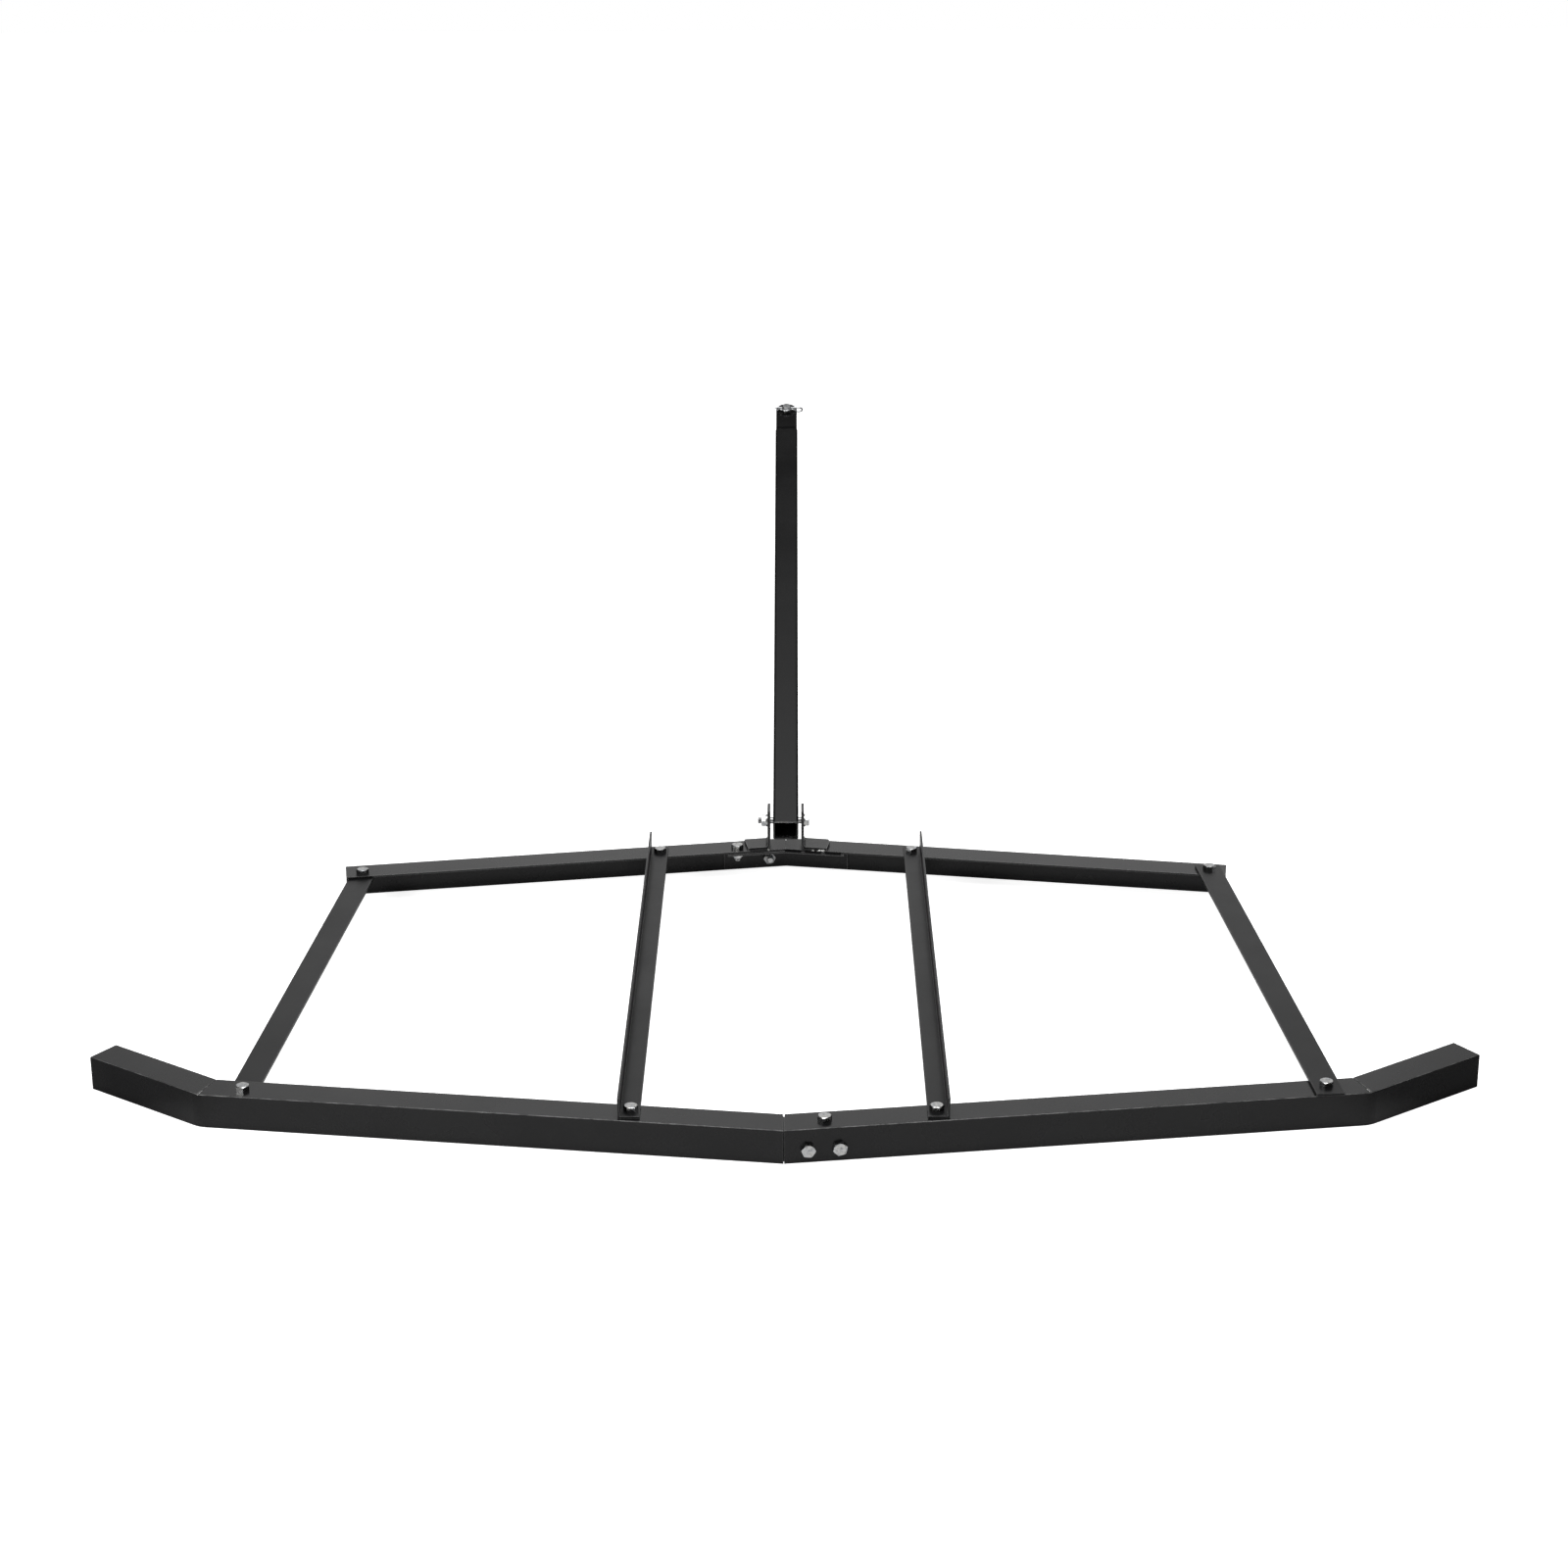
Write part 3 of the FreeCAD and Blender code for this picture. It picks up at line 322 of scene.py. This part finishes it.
def flaked_weld():
    """A weld under black coat that has flaked to bare metal in places."""
    material = black_coat("flaked_weld", BLACK_WELD, BLACK_COAT_WORN,
                          gloss=0.3, rough=0.42, specular=0.2, peel=0.4, edge_highlight=0.0)
    tree = material.node_tree
    place = tree.nodes.new("ShaderNodeTexCoord")
    bare = spread(tree, noise_in(tree, place, BARE_PATCH_SCALE, 1.0), 0.54, 0.58, 0.0, 1.0)
    cover(material, bare, BARE_WELD)
    tree.links.new(bare, tree.nodes["Principled BSDF"].inputs["Metallic"])
    return material


def zinc_plate(name, smooth, rough):
    """Bright zinc plate on a bolt, nut, washer or pin, with a painted highlight along its sharp
    edges.
    """
    material, tree, shader = new_material(name)
    surface = place_group(tree, PLATE, {})
    tint = mix_colour(tree, surface.outputs["Cloud"], ZINC_COOL, ZINC_WARM)
    marked = mix_colour(tree, math_in(tree, "MULTIPLY", surface.outputs["Marks"], MARK_SHARE),
                        tint, ZINC_SHADE)
    # Painted highlight: a pale colour along the sharp edges of the zinc, where the light catches
    # them
    edges = place_group(tree, EDGES, {"Width": ZINC_EDGE_WIDTH})
    edge_highlight_amount = math_in(tree, "MULTIPLY", edges.outputs["Edge"], ZINC_EDGE_SHARE)
    tree.links.new(mix_colour(tree, edge_highlight_amount, marked, ZINC_EDGE_HIGHLIGHT), shader.inputs["Base Color"])
    tree.links.new(spread(tree, surface.outputs["Marks"], 0.0, 1.0, smooth, rough),
                   shader.inputs["Roughness"])
    set_input(shader, "Metallic", 1.0)
    bump(tree, shader, surface.outputs["Relief"], 0.5, 0.3 * MM)
    return material


def spring_wire():
    """Drawn spring wire with faint marks."""
    material, tree, shader = new_material("spring_wire")
    surface = place_group(tree, PLATE, {"Cloud Scale": 300.0, "Relief Scale": 1200.0,
                                        "Mark Scale": 900.0})
    cloudy = math_in(tree, "MULTIPLY", surface.outputs["Cloud"], WIRE_CLOUD_SHARE)
    tree.links.new(mix_colour(tree, cloudy, WIRE_STEEL, ZINC_SHADE), shader.inputs["Base Color"])
    tree.links.new(spread(tree, surface.outputs["Marks"], 0.0, 1.0, 0.18, 0.34),
                   shader.inputs["Roughness"])
    set_input(shader, "Metallic", 1.0)
    bump(tree, shader, surface.outputs["Relief"], 0.1, 0.04 * MM)
    return material


def nylon():
    """The plastic ring that locks each nut."""
    material, tree, shader = new_material("nylon_insert")
    surface = place_group(tree, COAT, {"Peel Scale": 1800.0, "Gloss Scale": 160.0})
    tree.links.new(mix_colour(tree, surface.outputs["Gloss"], NYLON_BLUE, NYLON_PALE),
                   shader.inputs["Base Color"])
    tree.links.new(spread(tree, surface.outputs["Gloss"], 0.0, 1.0, 0.38, 0.5),
                   shader.inputs["Roughness"])
    bump(tree, shader, surface.outputs["Peel"], 0.1, 0.05 * MM)
    return material


FRAME_PAINT = black_coat("frame_paint", BLACK_COAT, BLACK_COAT_WORN,
                         gloss=0.22, rough=0.3, specular=0.22, peel=0.14, edge_highlight=1.0)
BEAM_PAINT = heel_highlight_coat()
STRAP_PAINT = black_coat("strap_paint", BLACK_COAT, BLACK_COAT_WORN,
                         gloss=0.28, rough=0.36, specular=0.14, peel=0.18, edge_highlight=0.6)
TOW_BAR_PAINT = black_coat("tow_bar_paint", TUBE_COAT, TUBE_COAT_WORN,
                           gloss=0.15, rough=0.2, specular=0.32, peel=0.1, edge_highlight=0.15)
WELD_PAINT = black_coat("painted_weld", TUBE_COAT, TUBE_COAT_WORN,
                        gloss=0.4, rough=0.55, specular=0.04, peel=0.4, edge_highlight=0.0)
FLAKED_WELD = flaked_weld()
ZINC = zinc_plate("zinc_plate", smooth=0.2, rough=0.36)
ZINC_PIN = zinc_plate("zinc_pin", smooth=0.42, rough=0.58)
WIRE = spring_wire()
NYLON = nylon()

FINISHES = {"frame_paint": FRAME_PAINT, "tow_bar_paint": TOW_BAR_PAINT, "painted_weld": WELD_PAINT,
            "zinc_plate": ZINC, "zinc_pin": ZINC_PIN, "spring_wire": WIRE, "nylon_insert": NYLON}

# Nodes with a finish of their own in place of their slot's
OWN_FINISH = {"outer_strap_left": STRAP_PAINT, "outer_strap_right": STRAP_PAINT,
              "inner_bar_left": STRAP_PAINT, "inner_bar_right": STRAP_PAINT,
              "rear_beam_left": BEAM_PAINT, "rear_beam_right": BEAM_PAINT}

for row in frame["record"]["subparts"]:
    finish = OWN_FINISH.get(row["node"], FINISHES[row["material_slot"]])
    node = nodes[row["node"]]
    node.data.materials.clear()
    node.data.materials.append(finish)


def bead_lines(name):
    """The middle line of each separate bead of a weld node, as pairs of end points."""
    shape = bmesh.new()
    shape.from_mesh(nodes[name].data)
    bmesh.ops.remove_doubles(shape, verts=shape.verts, dist=SAME_POINT)
    left = set(shape.verts)
    lines = []
    while left:
        group = [left.pop()]
        for vertex in group:
            for edge in vertex.link_edges:
                other = edge.other_vert(vertex)
                if other in left:
                    left.remove(other)
                    group.append(other)
        points = np.array([vertex.co for vertex in group])
        middle = points.mean(axis=0)
        along = np.linalg.svd(points - middle)[2][0]
        reach = (points - middle) @ along
        lines.append((Vector(middle + along * reach.min()), Vector(middle + along * reach.max())))
    shape.free()
    return sorted(lines, key=lambda line: tuple(line[0]))


def ripple_tree():
    """Overlapping flattened drops of weld metal, laid one pitch apart along each line."""
    tree = bpy.data.node_groups.new("weld_ripples", "GeometryNodeTree")
    ports = tree.interface
    ports.new_socket("Geometry", in_out="INPUT", socket_type="NodeSocketGeometry")
    ports.new_socket("Pitch", in_out="INPUT", socket_type="NodeSocketFloat")
    ports.new_socket("Drop Size", in_out="INPUT", socket_type="NodeSocketVector")
    ports.new_socket("Seed", in_out="INPUT", socket_type="NodeSocketInt")
    ports.new_socket("Material", in_out="INPUT", socket_type="NodeSocketMaterial")
    ports.new_socket("Geometry", in_out="OUTPUT", socket_type="NodeSocketGeometry")
    make = tree.nodes.new
    link = tree.links.new
    start = make("NodeGroupInput")
    end = make("NodeGroupOutput")
    curve = make("GeometryNodeMeshToCurve")
    steps = make("GeometryNodeResampleCurve")
    steps.mode = "LENGTH"
    drop = make("GeometryNodeMeshUVSphere")
    set_input(drop, "Segments", DROP_SEGMENTS)
    set_input(drop, "Rings", DROP_RINGS)
    set_input(drop, "Radius", 1.0)
    smooth = make("GeometryNodeSetShadeSmooth")
    tangent = make("GeometryNodeInputTangent")
    turn = make("FunctionNodeAlignRotationToVector")
    turn.axis = "X"
    turn.pivot_axis = "Z"
    vary = make("FunctionNodeRandomValue")
    vary.data_type = "FLOAT"
    smallest, largest = [entry for entry in vary.inputs
                         if entry.type == "VALUE" and entry.name in ("Min", "Max")][:2]
    smallest.default_value = DROP_SMALLEST
    largest.default_value = DROP_LARGEST
    scale = make("ShaderNodeVectorMath")
    scale.operation = "SCALE"
    place = make("GeometryNodeInstanceOnPoints")
    real = make("GeometryNodeRealizeInstances")
    coat = make("GeometryNodeSetMaterial")
    random_value = [entry for entry in vary.outputs if entry.type == "VALUE"][0]
    link(start.outputs["Geometry"], curve.inputs["Mesh"])
    link(curve.outputs["Curve"], steps.inputs["Curve"])
    link(start.outputs["Pitch"], steps.inputs["Length"])
    link(steps.outputs["Curve"], place.inputs["Points"])
    link(drop.outputs["Mesh"], smooth.inputs["Geometry"])
    link(smooth.outputs["Geometry"], place.inputs["Instance"])
    link(tangent.outputs["Tangent"], turn.inputs["Vector"])
    link(turn.outputs["Rotation"], place.inputs["Rotation"])
    link(start.outputs["Seed"], vary.inputs["Seed"])
    link(start.outputs["Drop Size"], scale.inputs[0])
    link(random_value, scale.inputs["Scale"])
    link(scale.outputs["Vector"], place.inputs["Scale"])
    link(place.outputs["Instances"], real.inputs["Geometry"])
    link(real.outputs["Geometry"], coat.inputs["Geometry"])
    link(start.outputs["Material"], coat.inputs["Material"])
    link(coat.outputs["Geometry"], end.inputs["Geometry"])
    return tree


RIPPLES = ripple_tree()


def plain_object(name, mesh):
    piece = bpy.data.objects.new(name, mesh)
    bpy.context.scene.collection.objects.link(piece)
    return piece


def run_tree(name, mesh, tree, values, material):
    """The mesh that a geometry tree makes from a starting mesh, as a plain object."""
    source = plain_object(name + "_source", mesh)
    modifier = source.modifiers.new(tree.name, "NODES")
    modifier.node_group = tree
    for item in tree.interface.items_tree:
        if item.in_out == "INPUT" and item.name in values:
            modifier[item.identifier] = values[item.name]
    depsgraph = bpy.context.evaluated_depsgraph_get()
    result = bpy.data.meshes.new_from_object(source.evaluated_get(depsgraph))
    result.name = name
    bpy.data.objects.remove(source)
    result.materials.clear()
    result.materials.append(material)
    return plain_object(name, result)


def weld_bead(name, node, pitch, drop_size, paint, rise=0.0):
    """Rippled beads in place of one weld node of the frame, raised from its middle lines."""
    points = []
    edges = []
    move = Vector((0.0, 0.0, rise))
    for start, end in bead_lines(node):
        edges.append((len(points), len(points) + 1))
        points += [start + move, end + move]
    mesh = bpy.data.meshes.new(name + "_lines")
    mesh.from_pydata(points, edges, [])
    values = {"Pitch": pitch, "Drop Size": drop_size, "Seed": RIPPLE_SEED, "Material": paint}
    bead = run_tree(name, mesh, RIPPLES, values, paint)
    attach(bead, "frame")
    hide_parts(node)


weld_bead("ear_weld_ripples", "ear_welds", EAR_PITCH, EAR_RIPPLE, FLAKED_WELD)
weld_bead("splice_weld_ripples", "splice_welds", SPLICE_PITCH, SPLICE_RIPPLE, WELD_PAINT)
weld_bead("bend_weld_ripples", "bend_welds", BEND_PITCH, BEND_RIPPLE, FLAKED_WELD, BEND_RISE)


# Camera

def turned_axes(pitch, yaw, roll):
    """The camera's right, up and forward directions."""
    pitch, yaw, roll = (math.radians(angle) for angle in (pitch, yaw, roll))
    forward = Vector((math.sin(yaw) * math.cos(pitch), math.cos(yaw) * math.cos(pitch),
                      -math.sin(pitch)))
    right = Vector((math.cos(yaw), -math.sin(yaw), 0.0))
    up = right.cross(forward)
    tilted_right = right * math.cos(roll) + up * math.sin(roll)
    tilted_up = up * math.cos(roll) - right * math.sin(roll)
    return tilted_right, tilted_up, forward


def photo_camera():
    data = bpy.data.cameras.new("photo_camera")
    data.sensor_fit = "HORIZONTAL"
    data.sensor_width = SENSOR_WIDTH
    data.lens = SENSOR_WIDTH * FOCAL_PIXELS / PHOTO_SIDE
    data.clip_end = 100.0
    camera = plain_object("photo_camera", data)
    low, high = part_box("rear_beam_left")
    rear_point = Vector((0.0, low[1], high[2]))
    right, up, forward = turned_axes(CAMERA_PITCH, CAMERA_YAW, CAMERA_ROLL)
    turn = Matrix((right, up, -forward)).transposed().to_4x4()
    camera.matrix_world = Matrix.Translation(rear_point + CAMERA_FROM_POINT) @ turn
    bpy.context.scene.camera = camera


photo_camera()


# Light and floor

# Brightness of the studio by elevation in degrees, ahead of the camera and behind it, and how it
# dims to the sides, by the sideways share of the direction
BRIGHTEST = 2.0
AHEAD_BANDS = ((-90.0, 0.9), (0.0, 0.88), (18.5, 0.9), (22.0, 1.06), (27.0, 1.3), (35.0, 0.9),
               (42.0, 0.06), (58.5, 0.0), (60.5, 0.2), (67.0, 1.6), (72.0, 1.8), (90.0, 1.4))
BEHIND_BANDS = ((-90.0, 0.7), (-4.0, 0.5), (8.0, 0.16), (40.0, 0.12), (62.0, 0.8), (90.0, 1.4))
BEHIND_UP_TO = -0.35
AHEAD_FROM = 0.25
SIDE_DIM_FROM = 0.145
SIDE_DIM_FULL = 0.36
SIDE_DIM_SHARE = 0.9

# Softboxes: place, aim, width and height, power in watts
SOFTBOXES = {
    "overhead_softbox": ((0.0, -0.9, 3.4), (0.0, -0.9, 0.0), (2.4, 2.2), 74.0),
    "right_softbox": ((3.6, 0.6, 1.6), (0.0, 0.4, 0.2), (0.8, 1.8), 22.0),
    "left_softbox": ((-3.2, -3.0, 1.9), (0.0, -0.6, 0.0), (2.4, 1.0), 90.0),
}


def sine_place(elevation):
    """Where an elevation in degrees lies on a ramp that runs evenly with height."""
    return (math.sin(math.radians(elevation)) + 1.0) * 0.5


def band_ramp(tree, height, bands):
    """The brightness at a height, as a share of the brightest, from a table of bands."""
    ramp = tree.nodes.new("ShaderNodeValToRGB")
    tree.links.new(height, ramp.inputs["Fac"])
    stops = ramp.color_ramp.elements
    ends = ((stops[0], bands[0]), (stops[1], bands[-1]))
    for stop, (elevation, level) in ends:
        stop.position = sine_place(elevation)
        stop.color = rgba((level / BRIGHTEST,) * 3)
    for elevation, level in bands[1:-1]:
        stops.new(sine_place(elevation)).color = rgba((level / BRIGHTEST,) * 3)
    return ramp.outputs["Color"]


def studio_world():
    """A studio with a white backdrop ahead, a dim room behind the camera and light overhead."""
    world = bpy.data.worlds.new("studio")
    world.use_nodes = True
    tree = world.node_tree
    tree.nodes.clear()
    place = tree.nodes.new("ShaderNodeTexCoord")
    split = tree.nodes.new("ShaderNodeSeparateXYZ")
    tree.links.new(place.outputs["Generated"], split.inputs["Vector"])
    height = spread(tree, split.outputs["Z"], -1.0, 1.0, 0.0, 1.0)
    ahead = spread(tree, split.outputs["Y"], BEHIND_UP_TO, AHEAD_FROM, 0.0, 1.0)
    level = mix_colour(tree, ahead, band_ramp(tree, height, BEHIND_BANDS),
                       band_ramp(tree, height, AHEAD_BANDS))
    sideways = math_in(tree, "ABSOLUTE", split.outputs["X"], 0.0)
    dim = spread(tree, sideways, SIDE_DIM_FROM, SIDE_DIM_FULL, 0.0, SIDE_DIM_SHARE)
    flagged = mix_colour(tree, dim, level, (0.0, 0.0, 0.0))
    ray = tree.nodes.new("ShaderNodeLightPath")
    white = (1.0 / BRIGHTEST,) * 3
    surround = tree.nodes.new("ShaderNodeBackground")
    tree.links.new(mix_colour(tree, ray.outputs["Is Camera Ray"], flagged, white),
                   surround.inputs["Color"])
    set_input(surround, "Strength", BRIGHTEST)
    end = tree.nodes.new("ShaderNodeOutputWorld")
    tree.links.new(surround.outputs["Background"], end.inputs["Surface"])
    bpy.context.scene.world = world


def soft_lamp(name, place, aim, size, power):
    """A rectangular area lamp turned towards its aim."""
    data = bpy.data.lights.new(name, "AREA")
    data.shape = "RECTANGLE"
    data.size, data.size_y = size
    data.energy = power
    lamp = plain_object(name, data)
    way = (Vector(aim) - Vector(place)).normalized()
    lamp.matrix_world = Matrix.Translation(place) @ way.to_track_quat("-Z", "Y").to_matrix().to_4x4()


def pale_floor():
    """A pale floor, white in the picture, that keeps a soft shadow and darkens mirrored sides."""
    mesh = bpy.data.meshes.new("floor")
    corners = [(-FLOOR_REACH, -FLOOR_REACH), (FLOOR_REACH, -FLOOR_REACH),
               (FLOOR_REACH, FLOOR_REACH), (-FLOOR_REACH, FLOOR_REACH)]
    mesh.from_pydata([(x, y, -FLOOR_DROP) for x, y in corners], [], [(0, 1, 2, 3)])
    material = bpy.data.materials.new("floor_pale")
    material.use_nodes = True
    tree = material.node_tree
    tree.nodes.clear()
    matt = tree.nodes.new("ShaderNodeBsdfDiffuse")
    ray = tree.nodes.new("ShaderNodeLightPath")
    mirrored = math_in(tree, "MAXIMUM", ray.outputs["Is Glossy Ray"],
                       ray.outputs["Is Transmission Ray"])
    place = tree.nodes.new("ShaderNodeTexCoord")
    away = tree.nodes.new("ShaderNodeVectorMath")
    away.operation = "LENGTH"
    tree.links.new(place.outputs["Object"], away.inputs[0])
    seen_lift = spread(tree, away.outputs["Value"], FLOOR_NEAR, FLOOR_FAR,
                       FLOOR_SEEN_GLOW, FLOOR_FAR_GLOW)
    mirrored_lift = spread(tree, away.outputs["Value"], FLOOR_NEAR, FLOOR_FAR,
                           FLOOR_MIRRORED_GLOW, FLOOR_FAR_GLOW)
    split = tree.nodes.new("ShaderNodeSeparateXYZ")
    tree.links.new(place.outputs["Object"], split.inputs["Vector"])
    side = spread(tree, math_in(tree, "ABSOLUTE", split.outputs["X"], 0.0),
                  FLOOR_SIDE_NEAR, FLOOR_SIDE_FAR, 0.0, 1.0)
    side_mirrored = math_in(tree, "MULTIPLY", mirrored, side)
    tree.links.new(mix_colour(tree, side_mirrored, FLOOR_PALE, FLOOR_SIDE_SHADE),
                   matt.inputs["Color"])
    mirrored_lift = math_in(tree, "MULTIPLY", mirrored_lift,
                            math_in(tree, "SUBTRACT", 1.0, side))
    glow = tree.nodes.new("ShaderNodeEmission")
    seen_glow = math_in(tree, "MULTIPLY", ray.outputs["Is Camera Ray"], seen_lift)
    mirrored_glow = math_in(tree, "MULTIPLY", mirrored, mirrored_lift)
    tree.links.new(math_in(tree, "ADD", seen_glow, mirrored_glow), glow.inputs["Strength"])
    total = tree.nodes.new("ShaderNodeAddShader")
    tree.links.new(matt.outputs["BSDF"], total.inputs[0])
    tree.links.new(glow.outputs["Emission"], total.inputs[1])
    end = tree.nodes.new("ShaderNodeOutputMaterial")
    tree.links.new(total.outputs["Shader"], end.inputs["Surface"])
    mesh.materials.append(material)
    floor = plain_object("floor", mesh)


studio_world()
for softbox, settings in SOFTBOXES.items():
    soft_lamp(softbox, *settings)
pale_floor()

bpy.context.scene.view_settings.view_transform = "Standard"
